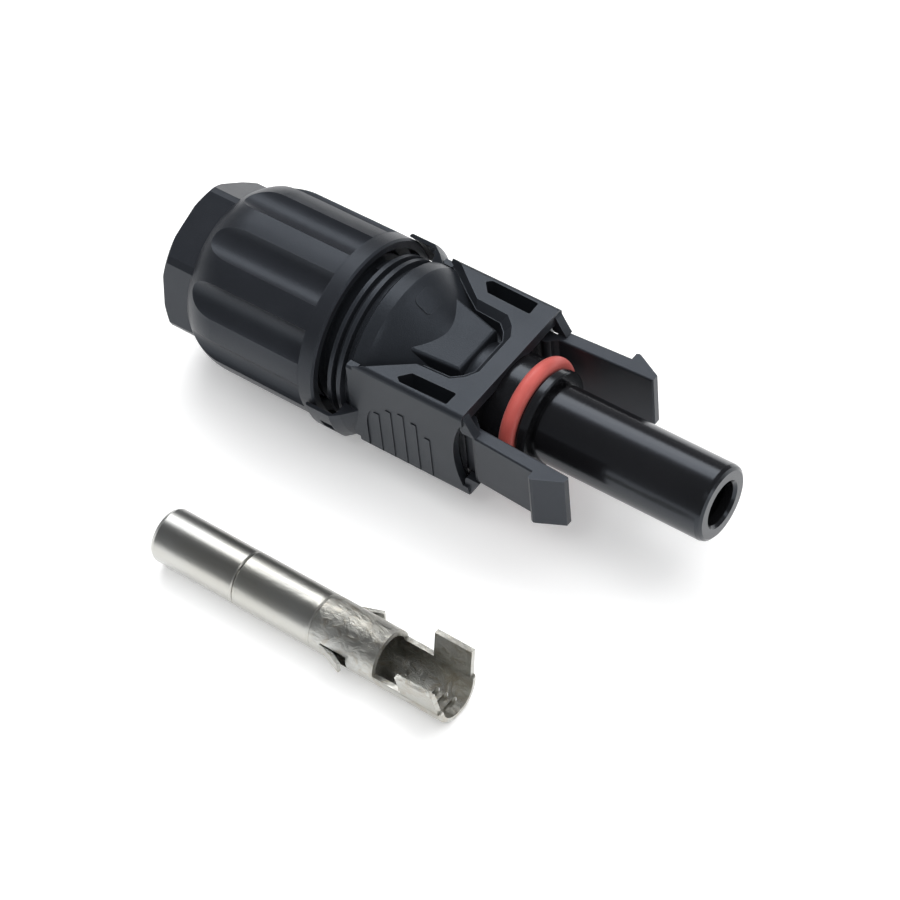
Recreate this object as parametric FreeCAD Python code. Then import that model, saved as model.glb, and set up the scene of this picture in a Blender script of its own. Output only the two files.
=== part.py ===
# Cable coupler for solar strings, plus its loose crimp contact. Millimetres.
# X runs along the coupler, mating end at +X, with the origin on the axis at the
# front face of the housing. +Z is up, +Y is left; the box section has a recessed
# panel above and below. The loose contact lies parallel, to the right and below.
import FreeCAD, Part
import math
import os
from FreeCAD import Vector

# ---- housing
BOX_HALF_W = 8.0
BOX_HALF_H = 5.5
BOX_REAR = -11.5
COLLAR_R = 8.6
COLLAR_REAR = -13.2
SCOOP_X, SCOOP_R = 9.2, 10.5    # cylinder that hollows the side walls at the front
POCKET_HALF_W, POCKET_HALF_H, POCKET_DEPTH = 7.15, 4.25, 1.7
CARRIER_BORE_R = 4.05
WIRE_BORE_R = 4.6               # open space behind the carrier
GLAND_BORE_R = 5.9              # holds the clamp basket and seal
GLAND_SHOULDER = -16.8
TUBE_REAR = -25.5
PANEL_FLOOR = 3.4               # height of the channels beside the pad
LIP_FLOOR = 4.8                 # height where the panel's sloping lip ends
PAD_REAR, PAD_FRONT = -9.2, -3.8
PAD_FRONT_HALF_W = 2.9
PAD_REAR_HALF_W = 3.85
PAD_TOP = 5.0                   # height of its front edge
PAD_RISE = 0.15                 # climb per mm toward the rear
SEAT_R = 4.9                    # carrier collar behind the O-ring
CORNER_R = 0.5                  # long edges of box, pocket and flange

# ---- thread on the gland tube
PITCH = 1.5
ROOT_R, CREST_R = 6.85, 7.5
ROOT_W, CREST_W = 0.80, 0.42    # ridge widths at those radii
THREAD_GAP = 0.12               # radial, between tube and nut
THREAD_FRONT, THREAD_REAR = -15.9, -24.4

# ---- lock tongues
TONGUE_HALF = 15.0              # half angle, degrees
TONGUE_AT = 22.0                # degrees from +Y toward +Z

# ---- finger dish in each side
DISH_X, DISH_Z, DISH_R, DISH_DEPTH = -7.3, -2.2, 4.1, 0.14
RIB_PITCH, RIB_HALF_W = 1.45, 0.3

# ---- union nut
RIM_X, RIM_R = -16.35, 9.5
NUT_R = 9.47
DOME_FRONT, DOME_REAR, DOME_REAR_R = -28.6, -32.5, 7.9
HEX_REAR = -36.0
HEX_ACROSS_FLATS = 14.3
HEX_PHASE = 82                  # degrees from +Y toward +Z
FLUTES = 10
FLUTE_PHASE = 115.0             # degrees from +Y toward +Z
FLUTE_R, FLUTE_CENTRE_R = 2.38, 10.95
ENTRY_R = 4.5
NUT_SLEEVE_REAR, NUT_SLEEVE_FRONT = -26.9, -19.0
NUT_TURNS = 3.5

# ---- contact carrier
PROBE_TIP = 22.75
PROBE_R = 3.82
MOUTH_R = 2.2
CONTACT_BORE_R = 2.87
FLANGE_REAR = 0.03 - POCKET_DEPTH
FLANGE_GAP = 0.06               # flange to pocket wall

# ---- locking arms
ARM_HALF_H = 3.08
PIVOT_X, PIVOT_Y = -0.55, 6.1
KNUCKLE_R = 0.72
ARM_TIP = 10.85

# ---- clamp basket
FINGERS = 8
FINGER_ROOT = -21.4             # where the slots between fingers end
SLOT_HALF_W = 0.45

# ---- loose contact
CONTACT_Y, CONTACT_Z = -26.3, -6.74
CONTACT_R = 2.75
SLEEVE_END, SEAM_X, CRIMP_END = -21.6, -11.95, 11.9
CONTACT_TURN = -0.8             # degrees about +Z, pivoting at the crimp end
SPRING_SLITS = 10

ORIGIN = Vector(0, 0, 0)
X_AXIS = Vector(1, 0, 0)
Y_AXIS = Vector(0, 1, 0)
Z_AXIS = Vector(0, 0, 1)


# =============================================================== helpers
def polygon(points):
    return Part.makePolygon(points + points[:1])


def prism(points, sweep):
    return Part.Face(polygon(points)).extrude(sweep)


def plate(outline, z0, z1):
    """Upright plate over an (x, y) outline."""
    return prism([Vector(x, y, z0) for x, y in outline], Vector(0, 0, z1 - z0))


def side_plate(outline, y0, y1):
    """Plate lying across Y with an (x, z) outline."""
    return prism([Vector(x, y0, z) for x, z in outline], Vector(0, y1 - y0, 0))


def turned(profile):
    """Solid of revolution about X from a closed (x, r) profile."""
    face = Part.Face(polygon([Vector(x, 0, r) for x, r in profile]))
    return face.revolve(ORIGIN, X_AXIS, 360)


def turned_curve(curve, path):
    """As turned, with a profile of one curved edge closed by straight lines along
    path, which runs from the curve's end back to its start."""
    points = [Vector(x, 0, r) for x, r in path]
    edges = [curve] + [Part.makeLine(a, b) for a, b in zip(points, points[1:])]
    return Part.Face(Part.Wire(edges)).revolve(ORIGIN, X_AXIS, 360)


def turned_spline(stations, closing):
    spline = Part.BSplineCurve()
    spline.interpolate([Vector(x, 0, r) for x, r in stations])
    return turned_curve(spline.toShape(), [stations[-1]] + closing + [stations[0]])


def cylinder(radius, x0, x1, y=0.0, z=0.0):
    return Part.makeCylinder(radius, x1 - x0, Vector(x0, y, z), X_AXIS)


def box(x0, x1, y0, y1, z0, z1):
    return Part.makeBox(x1 - x0, y1 - y0, z1 - z0, Vector(x0, y0, z0))


def dished(top, floor, z_top, z_floor, z_over):
    """Recess with sloping walls. Outline top at z_top and floor at z_floor have the
    same number of (x, half width) corners; the slope carries on up to z_over."""
    reach = (z_over - z_floor) / (z_top - z_floor)
    over = [(a[0] + (b[0] - a[0]) * reach, a[1] + (b[1] - a[1]) * reach)
            for a, b in zip(floor, top)]

    def ring(half, z):
        outline = half + [(x, -y) for x, y in reversed(half[:-1])]
        return polygon([Vector(x, y, z) for x, y in outline])

    return Part.makeLoft([ring(floor, z_floor), ring(over, z_over)], True, True)


def pair(shape, normal):
    return [shape, shape.mirror(ORIGIN, normal)]


def cut_each(shape, tools):
    for tool in tools:
        shape = shape.cut(tool)
    return shape


def rounded(shape, chosen, radius):
    """Round the edges for which chosen(edge) is true."""
    return shape.makeFillet(radius, [edge for edge in shape.Edges if chosen(edge)])


def rounded_along(shape, axis, radius):
    def parallel(edge):
        if not isinstance(edge.Curve, Part.Line):
            return False
        return abs(abs(edge.tangentAt(edge.FirstParameter).dot(axis)) - 1) < 1e-6

    return rounded(shape, parallel, radius)


def spun(shape, degrees):
    turned_copy = shape.copy()
    turned_copy.rotate(ORIGIN, X_AXIS, degrees)
    return turned_copy


def thread(x0, x1, r_in, r_out, w_in, w_out, sleeve):
    """Sleeve (inner r, outer r, rear x, front x) carrying a right-hand helical
    ridge from x0 forward to x1. Built upright, then laid along X."""
    helix = Part.makeHelix(PITCH, x1 - x0, (r_in + r_out) / 2.0)
    section = polygon([Vector(r_in, 0, -w_in / 2), Vector(r_out, 0, -w_out / 2),
                       Vector(r_out, 0, w_out / 2), Vector(r_in, 0, w_in / 2)])
    ridge = Part.Wire(helix.Edges).makePipeShell([section], True, True)
    inner, outer, rear, front = sleeve
    length = front - rear
    core = Part.makeCylinder(outer, length, Vector(0, 0, rear - x0)).cut(
        Part.makeCylinder(inner, length + 2, Vector(0, 0, rear - x0 - 1)))
    joined = core.fuse(ridge)
    if len(joined.Solids) != 1:
        raise RuntimeError("thread did not join its sleeve")
    joined = joined.Solids[0]
    joined.rotate(ORIGIN, Y_AXIS, 90)
    joined.translate(Vector(x0, 0, 0))
    return joined


def tube_ridge_width(radius):
    return ROOT_W - (radius - ROOT_R) * (ROOT_W - CREST_W) / (CREST_R - ROOT_R)


def nut_ridge_width(radius):
    return PITCH - 0.2 - tube_ridge_width(radius)


def save(shape, name, merge_faces=True):
    if merge_faces:
        shape = shape.removeSplitter()
    solids = shape.Solids
    if len(solids) != 1 or not solids[0].isValid():
        raise RuntimeError("%s: expected one valid solid, got %d" % (name, len(solids)))
    solids[0].exportStep("parts/%s.step" % name)


# =============================================================== housing
# Panel outlines from rear to front, as (x, half width)
LIP_TOP = [(-13.2, 8.7), (-11.35, 7.75), (-9.2, 6.15), (-7.3, 4.78),
           (-3.7, 4.62), (-2.62, 3.72), (-1.9, 2.5), (-1.9, 0.0)]
LIP_BASE = [(-13.2, 8.0), (-11.0, 6.85), (-8.8, 5.3), (-6.95, 4.1),
            (-4.1, 3.95), (-3.2, 3.2), (-2.6, 2.2), (-2.6, 0.0)]
WALL_TOP = [(-13.1, 7.95), (-11.0, 6.8), (-8.8, 5.25), (-6.95, 4.05),
            (-4.15, 3.9), (-3.25, 3.15), (-2.65, 2.2), (-2.65, 0.0)]
WALL_BASE = [(-13.0, 7.8), (-10.9, 6.6), (-8.7, 5.05), (-6.9, 3.9),
             (-4.3, 3.75), (-3.45, 3.05), (-2.9, 2.15), (-2.9, 0.0)]
# Slope from the collar down to the barrel around the carrier, as (x, r)
NECK = [(-11.55, COLLAR_R), (-11.1, 8.42), (-10.4, 7.98), (-9.4, 7.28), (-8.2, 6.3),
        (-7.2, 5.52), (-6.2, 4.95), (-5.0, 4.6), (-3.7, 4.45)]


def panelled_box():
    body = box(BOX_REAR - 0.9, 0, -BOX_HALF_W, BOX_HALF_W, -BOX_HALF_H, BOX_HALF_H)
    body = rounded_along(body, X_AXIS, CORNER_R)
    # sloping lip, then a steeper wall
    lip = dished(LIP_TOP, LIP_BASE, BOX_HALF_H, LIP_FLOOR, BOX_HALF_H + 1)
    wall = dished(WALL_TOP, WALL_BASE, LIP_FLOOR, PANEL_FLOOR, LIP_FLOOR + 0.3)
    return cut_each(body, pair(lip, Z_AXIS) + pair(wall, Z_AXIS))


def neck():
    shape = turned_spline(NECK, [(-2.0, 4.45), (-2.0, 0), (COLLAR_REAR, 0),
                                 (COLLAR_REAR, COLLAR_R - 0.3), (COLLAR_REAR + 0.3, COLLAR_R)])
    half_w = BOX_HALF_W - 0.02
    return shape.common(box(-20, 5, -half_w, half_w, -20, 20))


def pads():
    """Pads in the middle of the panels, climbing toward the collar."""
    rear_top = PAD_TOP + (PAD_FRONT - PAD_REAR) * PAD_RISE
    pad = side_plate([(PAD_REAR, 0), (PAD_REAR, rear_top), (PAD_FRONT, PAD_TOP),
                      (PAD_FRONT, 0)], -5, 5)
    pad = pad.common(plate([(-9.3, -PAD_REAR_HALF_W), (-3.7, -PAD_FRONT_HALF_W),
                            (-3.7, PAD_FRONT_HALF_W), (-9.3, PAD_REAR_HALF_W)], -1, 9))
    pad = rounded(pad, lambda edge: (edge.CenterOfMass.z > PAD_TOP - 0.3
                                     and edge.CenterOfMass.x > -9.0), 0.3)
    return pad.fuse(pad.mirror(ORIGIN, Z_AXIS))


def shoulder():
    """Carries the left side of the box back to the collar."""
    block = box(COLLAR_REAR + 0.1, -12.0, 7.2, BOX_HALF_W, -4.9, 4.9)
    return block.common(cylinder(9.25, -14, -11))


def tablet():
    """Plain raised tablet on the upper slope of the neck."""
    height = 0.12
    raised = turned_spline([(x, r + height) for x, r in NECK],
                           [(-2.0, 4.6), (-2.0, 0), (-12.0, 0), (-12.0, COLLAR_R + height)])
    block = box(-1.05, 1.05, -1.2, 1.2, -3, 3)
    block = rounded_along(block, Z_AXIS, 0.6)
    block.rotate(ORIGIN, Y_AXIS, 34)
    block.translate(Vector(-9.75, 0.75, 7.5))
    return block.common(raised)


def release_slots():
    slot = plate([(-7.9, 6.97), (-6.94, 5.9), (-2.07, 5.75), (-2.13, 7.3), (-7.35, 7.38)],
                 PANEL_FLOOR, BOX_HALF_H + 1)
    left, right = pair(rounded_along(slot, Z_AXIS, 0.18), Y_AXIS)
    return pair(left, Z_AXIS) + pair(right, Z_AXIS)


def finger_dish():
    """Shallow dish in the left side, less the upright ribs left standing in it."""
    floor = BOX_HALF_W - DISH_DEPTH
    dish = Part.makeCylinder(DISH_R, 2, Vector(DISH_X, floor, DISH_Z), Y_AXIS)
    dish = dish.fuse(box(DISH_X - DISH_R, DISH_X + DISH_R, floor, BOX_HALF_W + 1.5,
                         -BOX_HALF_H - 1, DISH_Z))
    ribs = []
    for k in range(-2, 3):
        offset = RIB_PITCH * k
        x = DISH_X + offset
        top = DISH_Z + math.sqrt(DISH_R ** 2 - (abs(offset) + RIB_HALF_W) ** 2) - 0.55
        ribs.append(box(x - RIB_HALF_W, x + RIB_HALF_W, floor - 0.3, BOX_HALF_W - 0.05,
                        -BOX_HALF_H - 1.5, top))
    return dish.cut(ribs[0].fuse(ribs[1:]))


def collar_rings():
    front = COLLAR_REAR + 0.5
    return turned([(front, 0), (front, 7.7), (-13.9, 7.7), (-13.98, 8.35), (-14.42, 8.35),
                   (-14.5, 7.7), (-14.95, 7.7), (-15.03, 8.35), (-15.45, 8.35),
                   (-15.6, 7.6), (-15.7, 7.2), (-15.7, 0)])


def gland_tube():
    foot_r = ROOT_R - 0.25      # the ridge is sunk into the tube wall
    tube = thread(THREAD_REAR, THREAD_FRONT - 0.3, foot_r, CREST_R,
                  tube_ridge_width(foot_r), tube_ridge_width(CREST_R),
                  (GLAND_BORE_R - 0.5, ROOT_R, TUBE_REAR, -15.0))
    chamfer = 0.4
    return tube.cut(turned([(TUBE_REAR, ROOT_R - chamfer), (TUBE_REAR, 8),
                            (TUBE_REAR + chamfer, 8), (TUBE_REAR + chamfer, ROOT_R)]))


def lock_tongue():
    """Windowed tongue on the collar, standing over the nut rim."""
    ring = turned([(-12.1, 7.9), (-13.93, 7.9), (-13.93, 9.3), (-14.2, 9.58), (-17.1, 9.58),
                   (-17.2, 9.75), (-17.0, 9.97), (-14.4, 9.97), (-13.5, 9.35), (-12.7, 8.52)])
    reach = 12
    spread = reach * math.tan(math.radians(TONGUE_HALF))
    wedge = prism([Vector(-18, 0, 0), Vector(-18, reach, -spread), Vector(-18, reach, spread)],
                  Vector(7, 0, 0))
    tongue = spun(ring.common(wedge), TONGUE_AT)
    return tongue.cut(spun(box(-15.9, -14.5, 8, 12, -0.75, 0.75), TONGUE_AT))


def front_pocket():
    pocket = box(-POCKET_DEPTH, 1, -POCKET_HALF_W, POCKET_HALF_W, -POCKET_HALF_H, POCKET_HALF_H)
    return rounded_along(pocket, X_AXIS, CORNER_R)


def side_scoop():
    scoop = Part.makeCylinder(SCOOP_R, 4, Vector(SCOOP_X, 5.0, -0.4), Y_AXIS)
    return scoop.common(box(-3, 1, 5.0, 9, -POCKET_HALF_H, POCKET_HALF_H))


def bracket():
    """Leads from a front corner of the box down to the arm."""
    return side_plate([(-0.42, 5.3), (-0.15, 5.37), (0.0, 5.25), (0.18, 4.98), (0.45, 4.45),
                       (0.75, 3.9), (1.2, 3.14), (-0.2, 3.14), (-0.42, 3.5)], 6.86, 7.78)


def housing_bores():
    seat = SEAT_R + 0.08
    tail = GLAND_BORE_R + 0.3
    return turned([(1, 0), (1, seat), (-POCKET_DEPTH, seat), (-POCKET_DEPTH, CARRIER_BORE_R),
                   (-12.6, CARRIER_BORE_R), (-12.6, WIRE_BORE_R), (GLAND_SHOULDER, WIRE_BORE_R),
                   (GLAND_SHOULDER, GLAND_BORE_R), (TUBE_REAR + 0.35, GLAND_BORE_R),
                   (TUBE_REAR, tail), (-30, tail), (-30, 0)])


def housing():
    body = panelled_box()
    body = body.fuse([neck(), pads()])
    body = body.fuse(pair(shoulder(), Y_AXIS))
    body = body.fuse(tablet())
    body = cut_each(body, release_slots())
    body = cut_each(body, pair(finger_dish(), Y_AXIS))
    body = body.fuse(collar_rings())
    body = body.fuse(gland_tube())
    tongue = lock_tongue()
    body = body.fuse([tongue, spun(tongue, 180)])
    body = body.cut(front_pocket())
    body = cut_each(body, pair(side_scoop(), Y_AXIS))
    for shape in pair(bracket(), Y_AXIS):
        body = body.fuse(pair(shape, Z_AXIS))
    body = body.cut(housing_bores())
    keyway = box(-30, -17.0, 5.0, 6.3, -0.8, 0.8)
    return body.cut(pair(keyway, Y_AXIS))


# =============================================================== parts on the axis
def contact_carrier():
    carrier = turned([
        (-13.4, 0), (-13.4, 3.95), (-13.1, 4.35), (-12.7, 4.35), (-12.62, 4.0),
        (FLANGE_REAR, 4.0), (FLANGE_REAR, SEAT_R), (1.62, SEAT_R), (1.62, 4.07),
        (3.38, 4.07), (3.38, 4.8), (3.55, 4.92), (4.2, 4.92), (4.35, 4.8),
        (4.35, 3.4), (4.8, 3.4), (4.8, PROBE_R), (PROBE_TIP - 0.55, PROBE_R),
        (PROBE_TIP - 0.2, PROBE_R - 0.12), (PROBE_TIP, PROBE_R - 0.42), (PROBE_TIP, 0)])
    half_w = POCKET_HALF_W - FLANGE_GAP
    half_h = POCKET_HALF_H - FLANGE_GAP
    flange = box(FLANGE_REAR, -0.55, -half_w, half_w, -half_h, half_h)
    carrier = carrier.fuse(rounded_along(flange, X_AXIS, CORNER_R))
    # saddle that carries each arm root
    for y in (PIVOT_Y, -PIVOT_Y):
        carrier = carrier.cut(Part.makeCylinder(KNUCKLE_R + 0.07, 2 * ARM_HALF_H + 0.2,
                                                Vector(PIVOT_X, y, -ARM_HALF_H - 0.1)))
    flare = MOUTH_R + 0.25
    return carrier.cut(turned([
        (-14, 0), (-14, 3.3), (-13.4, 3.3), (-12.9, CONTACT_BORE_R), (-3.7, CONTACT_BORE_R),
        (-3.7, 3.3), (-1.6, 3.3), (-1.2, CONTACT_BORE_R), (21.35, CONTACT_BORE_R),
        (21.6, MOUTH_R), (PROBE_TIP - 0.3, MOUTH_R), (PROBE_TIP, flare),
        (PROBE_TIP + 1, flare), (PROBE_TIP + 1, 0)]))


def o_ring():
    ring_r, section_r, x = 4.88, 0.79, 2.5
    return Part.makeTorus(ring_r, section_r, Vector(x, 0, 0), X_AXIS)


def locking_arm():
    """Left arm, with its knuckle at the root and a hook on the outside."""
    arm = plate([
        (PIVOT_X, PIVOT_Y - KNUCKLE_R + 0.05), (0.35, 5.95), (0.7, 6.28),
        (ARM_TIP - 0.15, 6.72), (ARM_TIP, 6.85), (ARM_TIP, 7.5), (8.25, 8.78), (7.98, 8.86),
        (7.72, 8.72), (7.72, 8.06), (1.15, 7.68), (0.72, 7.55), (0.45, 7.2), (0.2, 6.85),
        (PIVOT_X, PIVOT_Y + KNUCKLE_R - 0.02)], -ARM_HALF_H, ARM_HALF_H)
    arm = rounded(arm, lambda edge: (abs(abs(edge.CenterOfMass.z) - ARM_HALF_H) < 1e-4
                                     and edge.BoundBox.XLength > 5), 0.18)
    return arm.fuse(Part.makeCylinder(KNUCKLE_R, 2 * ARM_HALF_H,
                                      Vector(PIVOT_X, PIVOT_Y, -ARM_HALF_H)))


def gland_seal():
    """Ring grooved outside and ribbed inside."""
    return turned([
        (-19.6, 3.35), (-19.4, 3.6), (-19.4, 4.6), (-19.6, 4.82), (-21.0, 4.82), (-21.1, 4.6),
        (-21.5, 4.6), (-21.6, 4.82), (-23.2, 4.82), (-23.3, 4.6), (-23.7, 4.6), (-23.8, 4.82),
        (-26.9, 4.82), (-27.1, 4.6), (-27.1, 3.6), (-26.9, 3.35), (-25.9, 3.1), (-25.0, 3.35),
        (-24.1, 3.1), (-23.2, 3.35), (-22.3, 3.1), (-21.4, 3.35), (-20.5, 3.1)])


def clamp_basket():
    basket = turned([(-19.5, 4.88), (-19.5, 5.6), (-19.75, 5.83), (-28.0, 5.83), (-30.2, 4.9),
                     (-30.2, 4.2), (-29.9, 3.95), (-27.6, 3.95), (-27.25, 4.88)])
    slots = []
    for k in range(FINGERS):
        slot = box(-31, FINGER_ROOT, 0, 7, -SLOT_HALF_W, SLOT_HALF_W).fuse(
            Part.makeCylinder(SLOT_HALF_W, 7, Vector(FINGER_ROOT, 0, 0), Y_AXIS))
        slots.append(spun(slot, 360.0 * (k + 0.5) / FINGERS))
    basket = basket.cut(slots)
    lug = box(-21.2, -19.8, 5.3, 6.2, -0.7, 0.7)
    return basket.fuse(pair(lug, Y_AXIS))


# =============================================================== union nut
def nut_hexagon():
    corner_r = HEX_ACROSS_FLATS / math.sqrt(3)
    angles = [math.radians(HEX_PHASE + 60 * k) for k in range(6)]
    corners = [Vector(HEX_REAR, corner_r * math.cos(a), corner_r * math.sin(a)) for a in angles]
    hexagon = prism(corners, Vector(DOME_REAR - HEX_REAR + 0.3, 0, 0))
    return hexagon.common(turned([(HEX_REAR, 0), (HEX_REAR, 7.35), (HEX_REAR + 0.5, 8.05),
                                  (-31, 8.05), (-31, 0)]))


def union_nut():
    dome = Part.Arc(Vector(DOME_FRONT, 0, NUT_R), Vector(DOME_FRONT - 2.2, 0, 8.98),
                    Vector(DOME_REAR, 0, DOME_REAR_R)).toShape()
    nut = turned_curve(dome, [
        (DOME_REAR, DOME_REAR_R), (DOME_REAR, 0), (RIM_X, 0), (RIM_X, RIM_R - 0.2),
        (RIM_X - 0.2, RIM_R), (-17.95, RIM_R), (-18.15, NUT_R + 0.05), (DOME_FRONT, NUT_R)])
    flutes = []
    for k in range(FLUTES):
        angle = math.radians(FLUTE_PHASE + 360.0 / FLUTES * k)
        flutes.append(cylinder(FLUTE_R, -34, -18.05, FLUTE_CENTRE_R * math.cos(angle),
                               FLUTE_CENTRE_R * math.sin(angle)))
    nut = nut.cut(flutes)
    nut = nut.fuse(nut_hexagon())

    bore_r = CREST_R + THREAD_GAP
    rear, front = NUT_SLEEVE_REAR, NUT_SLEEVE_FRONT
    flare = ENTRY_R + 0.5
    nut = nut.cut(turned([
        (1, 0), (1, 8.62), (-17.75, 8.62), (-18.3, bore_r + 0.1), (front, bore_r),
        (rear, bore_r), (-27.2, 7.1), (-28.05, 7.1), (-28.05, 6.0), (-30.65, 4.9),
        (-30.65, ENTRY_R), (HEX_REAR + 0.6, ENTRY_R), (HEX_REAR, flare), (-37, flare), (-37, 0)]))

    # the inner layer of the wall gives way to a sleeve that carries the thread
    tip_r = ROOT_R + THREAD_GAP
    foot_r = bore_r + 0.2
    sleeve_r = bore_r + 0.4
    start = THREAD_REAR - PITCH / 2
    sleeve = thread(start, start + NUT_TURNS * PITCH, tip_r, foot_r, nut_ridge_width(tip_r),
                    nut_ridge_width(foot_r), (bore_r, sleeve_r, rear, front))
    nut = nut.cut(turned([(rear, 0), (rear, sleeve_r), (front, sleeve_r), (front, 0)]))
    return nut.fuse(sleeve)


# =============================================================== loose crimp contact
def placed(shape):
    """Move a contact piece from the coupler axis to where the contact lies."""
    moved = shape.copy()
    moved.rotate(Vector(CRIMP_END, 0, 0), Z_AXIS, CONTACT_TURN)
    moved.translate(Vector(0, CONTACT_Y, CONTACT_Z))
    return moved


def contact_sleeve():
    outer = CONTACT_R - 0.02
    lip = SEAM_X - 0.08
    return turned([(SLEEVE_END, 2.42), (SLEEVE_END, 2.55), (SLEEVE_END + 0.35, outer),
                   (SEAM_X - 0.2, outer), (lip, CONTACT_R - 0.14), (lip, 2.50),
                   (SLEEVE_END + 0.45, 2.50)])


def crimp_wall(x0, x1, top, y_top):
    """Left wall of the open barrel, from x0 to x1 and up to z = top."""
    section = [(2.21, -0.3), (CONTACT_R - 0.03, -0.3), (CONTACT_R - 0.01, 0.1),
               (y_top + 0.5, top), (y_top, top), (2.21, 0.1)]
    return prism([Vector(x0, y, z) for y, z in section], Vector(x1 - x0, 0, 0))


def contact_barrel():
    root = SLEEVE_END + 0.5
    barrel = turned([
        (root, 2.22), (root, 2.48), (SEAM_X, 2.48), (SEAM_X, CONTACT_R - 0.1),
        (SEAM_X + 0.15, CONTACT_R), (-3.2, CONTACT_R), (-3.05, CONTACT_R - 0.12),
        (-2.9, CONTACT_R), (CRIMP_END - 0.2, CONTACT_R), (CRIMP_END, CONTACT_R - 0.2),
        (CRIMP_END, 2.2)])
    barrel = barrel.cut(box(4.3, 20, -5, 5, 0, 5))
    # retaining lances bent out of windows in the tube wall
    barrel = barrel.cut(pair(box(-1.6, 1.3, 0, 4, -0.75, 0.75), Y_AXIS))
    lance = plate([(-1.7, 2.2), (-1.7, 2.72), (-1.3, 2.74), (1.02, 3.62), (1.15, 3.3),
                   (-1.1, 2.3)], -0.6, 0.6)
    barrel = barrel.fuse(pair(lance, Y_AXIS))
    low = crimp_wall(4.25, 7.6, 0.2, 2.23)
    ear = crimp_wall(7.5, CRIMP_END - 0.3, 3.05, 2.75)
    barrel = barrel.fuse([low, ear] + [wall.mirror(ORIGIN, Y_AXIS) for wall in (low, ear)])
    # serrations across the floor of the open barrel
    serrations = []
    for k in range(3):
        groove = cylinder(0.3, 0, 4.2)
        groove.rotate(ORIGIN, Z_AXIS, 90)
        groove.translate(Vector(8.9 + k * 0.95, -2.1, -2.32))
        serrations.append(groove)
    return barrel.cut(serrations)


def contact_spring():
    """Thin slit cage, waisted in the middle."""
    spring = turned([
        (-20.4, 2.2), (-20.4, 2.06), (-19.6, 2.06), (-18.6, 2.0), (-16.6, 1.93),
        (-14.6, 2.0), (-13.6, 2.06), (-12.8, 2.06), (-12.8, 2.2), (-13.7, 2.2),
        (-14.6, 2.14), (-16.6, 2.07), (-18.6, 2.14), (-19.5, 2.2)])
    slit = box(-19.5, -13.7, 0, 3, -0.2, 0.2)
    return spring.cut([spun(slit, 360.0 / SPRING_SLITS * k) for k in range(SPRING_SLITS)])


os.makedirs("parts", exist_ok=True)
save(housing(), "housing_shell", merge_faces=False)
save(contact_carrier(), "contact_carrier")
save(o_ring(), "o_ring")
left_arm, right_arm = pair(locking_arm(), Y_AXIS)
save(left_arm, "locking_arm_left")
save(right_arm, "locking_arm_right")
save(gland_seal(), "gland_seal")
save(clamp_basket(), "clamp_basket")
save(union_nut(), "union_nut", merge_faces=False)
save(placed(contact_sleeve()), "contact_sleeve")
save(placed(contact_barrel()), "contact_barrel")
save(placed(contact_spring()), "contact_spring")
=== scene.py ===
"""Cable connector: plastic housing, union nut and locking arms, rubber seals, metal contact.

This script gives them materials and sets them above a pale floor. Streaks and draw marks in
the materials run along X.
"""
import bpy, bmesh, math
from mathutils import Vector, Matrix


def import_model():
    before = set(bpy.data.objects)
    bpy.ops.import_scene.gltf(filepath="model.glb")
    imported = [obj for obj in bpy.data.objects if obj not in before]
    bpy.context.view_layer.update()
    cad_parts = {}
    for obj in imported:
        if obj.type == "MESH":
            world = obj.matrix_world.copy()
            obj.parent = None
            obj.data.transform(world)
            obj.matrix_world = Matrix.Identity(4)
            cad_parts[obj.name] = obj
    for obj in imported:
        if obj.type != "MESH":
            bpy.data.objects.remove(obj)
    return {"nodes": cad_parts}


MM = 0.001

FLOOR_Z = -0.00952
FLOOR_HALF_WIDTH = 1.5
LIGHT_TARGET = Vector((-0.005, -0.008, 0))

# The crumpled end of the barrel: creases fade in over this length towards +X
CRUMPLE_START_X = -0.0035
CRUMPLE_FADE = 0.00125

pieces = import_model()["nodes"]
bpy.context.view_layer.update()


# ------------------------------------------------------------------ node helpers
def add_node(tree, kind, inputs=None, **properties):
    """Add a node; each input takes either a value or the socket that feeds it."""
    node = tree.nodes.new(kind)
    for name, value in properties.items():
        setattr(node, name, value)
    feed(tree, node, inputs or {})
    return node


def feed(tree, node, inputs):
    for key, value in inputs.items():
        if isinstance(value, bpy.types.NodeSocket):
            tree.links.new(value, node.inputs[key])
        else:
            node.inputs[key].default_value = value


def add_ramp(tree, factor, stops):
    """Colour ramp through (position, colour) stops."""
    node = add_node(tree, "ShaderNodeValToRGB", {"Fac": factor})
    elements = node.color_ramp.elements
    while len(elements) > 1:
        elements.remove(elements[-1])
    elements[0].position, elements[0].color = stops[0]
    for position, colour in stops[1:]:
        elements.new(position).color = colour
    return node.outputs["Color"]


def rgb(red, green, blue):
    return (red, green, blue, 1.0)


BLACK = rgb(0, 0, 0)
WHITE = rgb(1, 1, 1)


def tone(base, gain, lift=0.0):
    """Base colour made lighter or darker."""
    return rgb(*[value * gain + lift for value in base])


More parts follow.
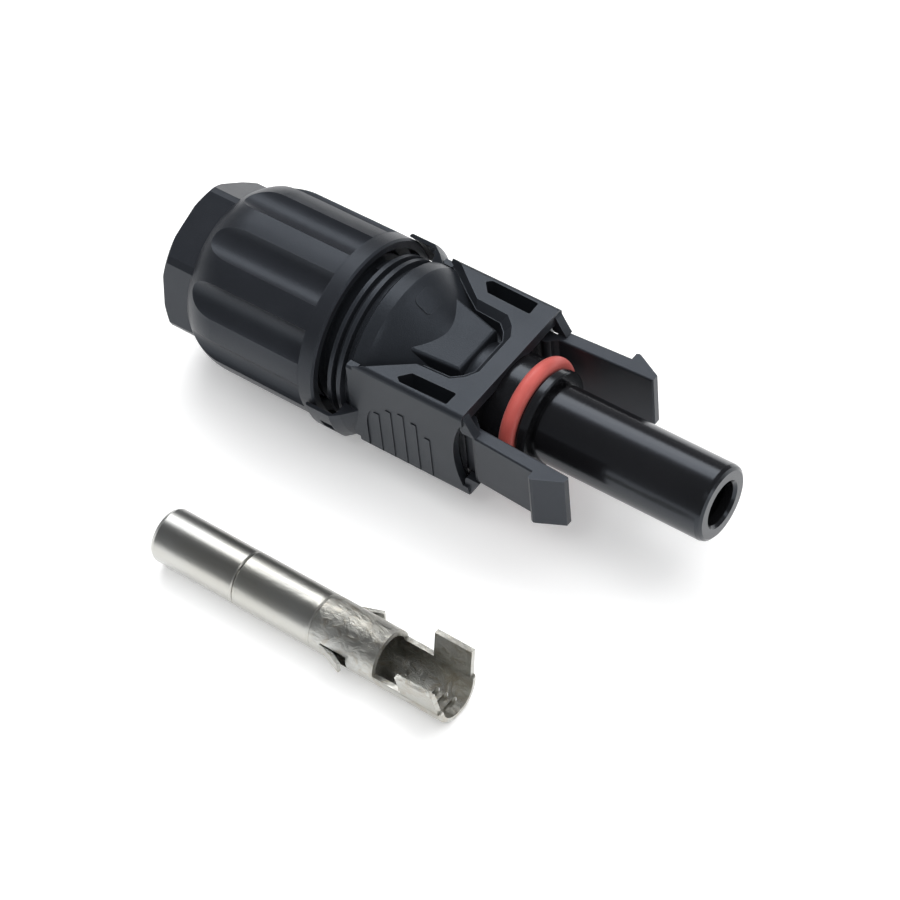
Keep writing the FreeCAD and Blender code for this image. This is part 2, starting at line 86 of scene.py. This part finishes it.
class Surface:
    """Principled material whose methods add nodes and return their output sockets."""

    def __init__(self, name):
        self.material = bpy.data.materials.new(name)
        self.material.use_nodes = True
        self.tree = self.material.node_tree
        self.tree.nodes.clear()
        self.shader = self.node("ShaderNodeBsdfPrincipled")
        self.node("ShaderNodeOutputMaterial", {"Surface": self.shader.outputs["BSDF"]})
        self.place = self.node("ShaderNodeTexCoord").outputs["Object"]

    def node(self, kind, inputs=None, **properties):
        return add_node(self.tree, kind, inputs, **properties)

    def set(self, inputs):
        feed(self.tree, self.shader, inputs)

    def noise(self, scale, detail, roughness=0.6, distortion=0.0, stretch_x=None):
        """Noise in object space; stretch_x below 1 draws it out along X."""
        place = self.place
        if stretch_x:
            mapping = self.node("ShaderNodeMapping", {"Vector": place, "Scale": (stretch_x, 1, 1)})
            place = mapping.outputs["Vector"]
        return self.node("ShaderNodeTexNoise", {
            "Vector": place,
            "Scale": scale,
            "Detail": detail,
            "Roughness": roughness,
            "Distortion": distortion,
        }).outputs["Fac"]

    def ramp(self, factor, *stops):
        return add_ramp(self.tree, factor, stops)

    def math(self, operation, first, second, clamp=False):
        node = self.node("ShaderNodeMath", {0: first, 1: second},
                         operation=operation, use_clamp=clamp)
        return node.outputs[0]

    def multiply(self, first, second, clamp=False):
        return self.math("MULTIPLY", first, second, clamp)

    def vary(self, noise, low, spread):
        """Value that runs from low to low + spread with the noise."""
        return self.math("ADD", low, self.multiply(noise, spread))

    def mix(self, factor, colour, other):
        # 0, 6 and 7 are the factor and colour inputs; 2 is the colour output
        node = self.node("ShaderNodeMix", data_type="RGBA")
        feed(self.tree, node, {0: factor, 6: colour, 7: other})
        return node.outputs[2]

    def bump(self, height, strength, distance, under=None):
        """Bump normal, laid over an earlier one if given."""
        inputs = {"Height": height, "Strength": strength, "Distance": distance}
        if under is not None:
            inputs["Normal"] = under
        return self.node("ShaderNodeBump", inputs).outputs["Normal"]

    def edge(self, radius):
        """Above 0 where the surface turns within the radius, 0 on flat areas."""
        bevel = self.node("ShaderNodeBevel", {"Radius": radius}, samples=4)
        normal = self.node("ShaderNodeNewGeometry").outputs["Normal"]
        dot = self.node("ShaderNodeVectorMath", operation="DOT_PRODUCT")
        feed(self.tree, dot, {0: bevel.outputs["Normal"], 1: normal})
        return self.math("SUBTRACT", 1.0, dot.outputs["Value"], clamp=True)


# ------------------------------------------------------------------ materials
def plastic(name, base, roughness, specular, lift=0.002, grain_depth=0.00003, edge_highlight_strength=0.25, coat=0.0):
    """Moulded plastic with fine grain, streaks and pale edges that are a painted edge highlight."""
    surface = Surface(name)
    mottle = surface.noise(scale=90, detail=3)
    grain = surface.noise(scale=9000, detail=2)
    streak = surface.noise(scale=260, detail=4, distortion=0.4, stretch_x=0.25)

    colour = surface.ramp(mottle, (0.32, tone(base, 0.88)), (0.68, tone(base, 1.14, lift)))
    # Painted edge highlight: the base colour turns pale on convex edges, broken up by the streak noise
    edge = surface.multiply(surface.edge(radius=0.00035), 3.0, clamp=True)
    painted_edge_highlight = surface.multiply(edge, surface.multiply(streak, edge_highlight_strength * 2.0), clamp=True)
    normal = surface.bump(grain, strength=0.5, distance=grain_depth)
    surface.set({
        "Base Color": surface.mix(painted_edge_highlight, colour, tone(base, 2.2, 0.03)),
        "Roughness": surface.vary(streak, low=roughness - 0.06, spread=0.12),
        "Specular IOR Level": specular,
        "Specular Tint": rgb(0.76, 0.86, 1.0),
        "Normal": surface.bump(streak, strength=0.25, distance=0.00002, under=normal),
        "Coat Weight": coat,
        "Coat Roughness": 0.12,
    })
    return surface.material


def rubber(name, base, roughness):
    """Matt rubber with slight mottling and fine grain."""
    surface = Surface(name)
    mottle = surface.noise(scale=220, detail=4)
    grain = surface.noise(scale=7000, detail=3)
    surface.set({
        "Base Color": surface.ramp(mottle, (0.3, tone(base, 0.85)), (0.7, tone(base, 1.15))),
        "Roughness": surface.vary(grain, low=roughness - 0.05, spread=0.12),
        "Sheen Weight": 0.1,
        "Normal": surface.bump(grain, strength=0.4, distance=0.00002),
    })
    return surface.material


def tin(name, base, roughness, tarnish=0.4, dent_depth=0.0, crumpled=False):
    """Tinned metal with draw marks and brown spots, and optional dents and creases."""
    surface = Surface(name)
    mottle = surface.noise(scale=140, detail=5, distortion=0.6, stretch_x=0.4)
    draw_marks = surface.noise(scale=1800, detail=3, stretch_x=0.06)
    spots = surface.noise(scale=600, detail=5, roughness=0.7)

    red, green, blue = base
    dull = rgb(red * 0.93, green * 0.9, blue * 0.84)
    colour = surface.ramp(mottle, (0.3, dull), (0.65, rgb(*base)))
    spotted = surface.multiply(surface.ramp(spots, (0.62, BLACK), (0.78, WHITE)), tarnish * 0.35)
    colour = surface.mix(spotted, colour, rgb(0.45, 0.33, 0.2))
    normal = surface.bump(draw_marks, strength=0.3, distance=0.000012)
    if dent_depth:
        dents = surface.noise(scale=420, detail=3, roughness=0.55, distortion=0.8, stretch_x=0.6)
        normal = surface.bump(dents, strength=0.6, distance=dent_depth, under=normal)
    if crumpled:
        colour, normal = crumple(surface, colour, normal)
    surface.set({
        "Base Color": colour,
        "Metallic": 1.0,
        "Roughness": surface.vary(mottle, low=roughness - 0.04, spread=0.1),
        "Normal": normal,
    })
    return surface.material


def crumple(surface, colour, normal):
    """Crease and stain the metal on the +X side of CRUMPLE_START_X."""
    axes = surface.node("ShaderNodeSeparateXYZ", {"Vector": surface.place})
    past_start = surface.math("ADD", axes.outputs["X"], -CRUMPLE_START_X)
    here = surface.multiply(past_start, 1 / CRUMPLE_FADE, clamp=True)
    crease = surface.noise(scale=900, detail=5, roughness=0.7, distortion=1.2, stretch_x=0.8)
    stain = surface.multiply(surface.ramp(crease, (0.5, BLACK), (0.72, WHITE)), here)
    colour = surface.mix(surface.multiply(stain, 0.6), colour, rgb(0.36, 0.29, 0.19))
    height = surface.multiply(crease, here)
    return colour, surface.bump(height, strength=0.8, distance=0.00022, under=normal)


ARM_BLACK = (0.0165, 0.018, 0.0222)
MATERIALS = {
    "housing_shell": plastic("shell", (0.0165, 0.0185, 0.0225), roughness=0.36, specular=0.4),
    "union_nut": plastic("nut", (0.016, 0.0175, 0.0215), roughness=0.38, specular=0.36),
    "contact_carrier": plastic("probe", (0.008, 0.008, 0.009), roughness=0.2, specular=0.45,
                               lift=0.001, grain_depth=0.00001, edge_highlight_strength=0.08, coat=0.12),
    "locking_arm_left": plastic("arm_l", ARM_BLACK, roughness=0.34, specular=0.38),
    "locking_arm_right": plastic("arm_r", ARM_BLACK, roughness=0.34, specular=0.38),
    "clamp_basket": plastic("basket", (0.035, 0.035, 0.04), roughness=0.4, specular=0.5),
    "gland_seal": rubber("gland", (0.025, 0.025, 0.027), roughness=0.62),
    "o_ring": rubber("ring", (0.53, 0.095, 0.08), roughness=0.42),
    "contact_barrel": tin("tin_barrel", (0.55, 0.555, 0.535), roughness=0.33,
                          tarnish=0.8, dent_depth=0.00007, crumpled=True),
    "contact_sleeve": tin("tin_sleeve", (0.56, 0.565, 0.55), roughness=0.30,
                          tarnish=0.3, dent_depth=0.00002),
    "contact_spring": tin("spring", (0.80, 0.78, 0.74), roughness=0.22),
}
for name, piece in pieces.items():
    slots = piece.data.materials
    if not slots:
        slots.append(MATERIALS[name])
    for i in range(len(slots)):
        slots[i] = MATERIALS[name]

scene = bpy.context.scene


# ------------------------------------------------------------------ stage
def floor_paint():
    """Pale matt paint that glows a little."""
    surface = Surface("floor_paint")
    mottle = surface.noise(scale=4, detail=2, roughness=0.5)
    surface.set({
        "Base Color": surface.ramp(mottle, (0.3, tone(WHITE[:3], 0.86)),
                                   (0.7, tone(WHITE[:3], 0.9))),
        "Roughness": 0.6,
        "Specular IOR Level": 0.1,
        "Emission Color": WHITE,
        "Emission Strength": 0.3,
    })
    return surface.material


def add_floor():
    grid = bmesh.new()
    bmesh.ops.create_grid(grid, x_segments=2, y_segments=2, size=FLOOR_HALF_WIDTH)
    mesh = bpy.data.meshes.new("floor")
    grid.to_mesh(mesh)
    grid.free()
    floor = bpy.data.objects.new("floor", mesh)
    floor.location = (0, 0, FLOOR_Z)
    scene.collection.objects.link(floor)
    mesh.materials.append(floor_paint())


def add_world():
    """Grey surroundings that darken from the horizon to the zenith."""
    world = bpy.data.worlds.new("studio")
    world.use_nodes = True
    tree = world.node_tree
    direction = add_node(tree, "ShaderNodeTexCoord").outputs["Generated"]
    height = add_node(tree, "ShaderNodeSeparateXYZ", {"Vector": direction}).outputs["Z"]
    # (height, brightness), tinted slightly blue
    stops = [(z, tone((0.96, 0.98, 1.0), grey)) for z, grey in ((0.0, 0.26), (0.35, 0.17), (0.8, 0.1))]
    stops.append((1.0, rgb(0.09, 0.095, 0.1)))
    background = tree.nodes["Background"]
    feed(tree, background, {"Color": add_ramp(tree, height, stops), "Strength": 1.0})
    scene.world = world


def add_light(name, direction, distance, width, height, radiance, glossy=True):
    """Rectangular light that lies in the given direction from the target and faces it."""
    light = bpy.data.lights.new(name, "AREA")
    light.shape = "RECTANGLE"
    light.size, light.size_y = width, height
    light.energy = radiance * math.pi * light.size * light.size_y
    lamp = bpy.data.objects.new(name, light)
    outward = Vector(direction).normalized()
    lamp.location = LIGHT_TARGET + outward * distance
    lamp.rotation_euler = (-outward).to_track_quat("-Z", "Y").to_euler()
    lamp.visible_glossy = glossy
    scene.collection.objects.link(lamp)


def add_camera():
    """Long lens looking down from the +X, -Y side."""
    lens = bpy.data.cameras.new("camera")
    lens.sensor_width = 36
    lens.lens = 140.8886
    lens.clip_start, lens.clip_end = 0.01, 10
    camera = bpy.data.objects.new("camera", lens)
    right = Vector((0.808456, 0.58429, -0.07074))
    up = Vector((-0.409647, 0.644923, 0.645185))
    back = Vector((0.422597, -0.492625, 0.760745))
    pose = Matrix((right, up, back)).transposed().to_4x4()
    pose.translation = Vector((134.2553, -166.4269, 244.7737)) * MM
    camera.matrix_world = pose
    scene.collection.objects.link(camera)
    scene.camera = camera


add_floor()
add_world()

# name, direction from the target, distance, width, height, radiance
for light in (
    ("key", (-0.42, 0.49, 0.76), 0.6, 0.42, 0.3, 3.5),
    ("wash", (0.0, 0.1, 1.0), 0.8, 1.3, 1.3, 1.7),
    ("strip", (0.9, 0.1, 0.25), 0.6, 0.12, 0.5, 2.0),
    ("front", (0.15, -0.5, 0.82), 0.6, 0.1, 0.1, 7.0),
    ("back", (0.52, 0.5, 0.7), 0.6, 0.26, 0.26, 1.6),
):
    # The overhead wash stays out of reflections
    add_light(*light, glossy=light[0] != "wash")

scene.view_settings.view_transform = "Standard"
scene.view_settings.look = "None"
scene.view_settings.exposure = 0.0
add_camera()
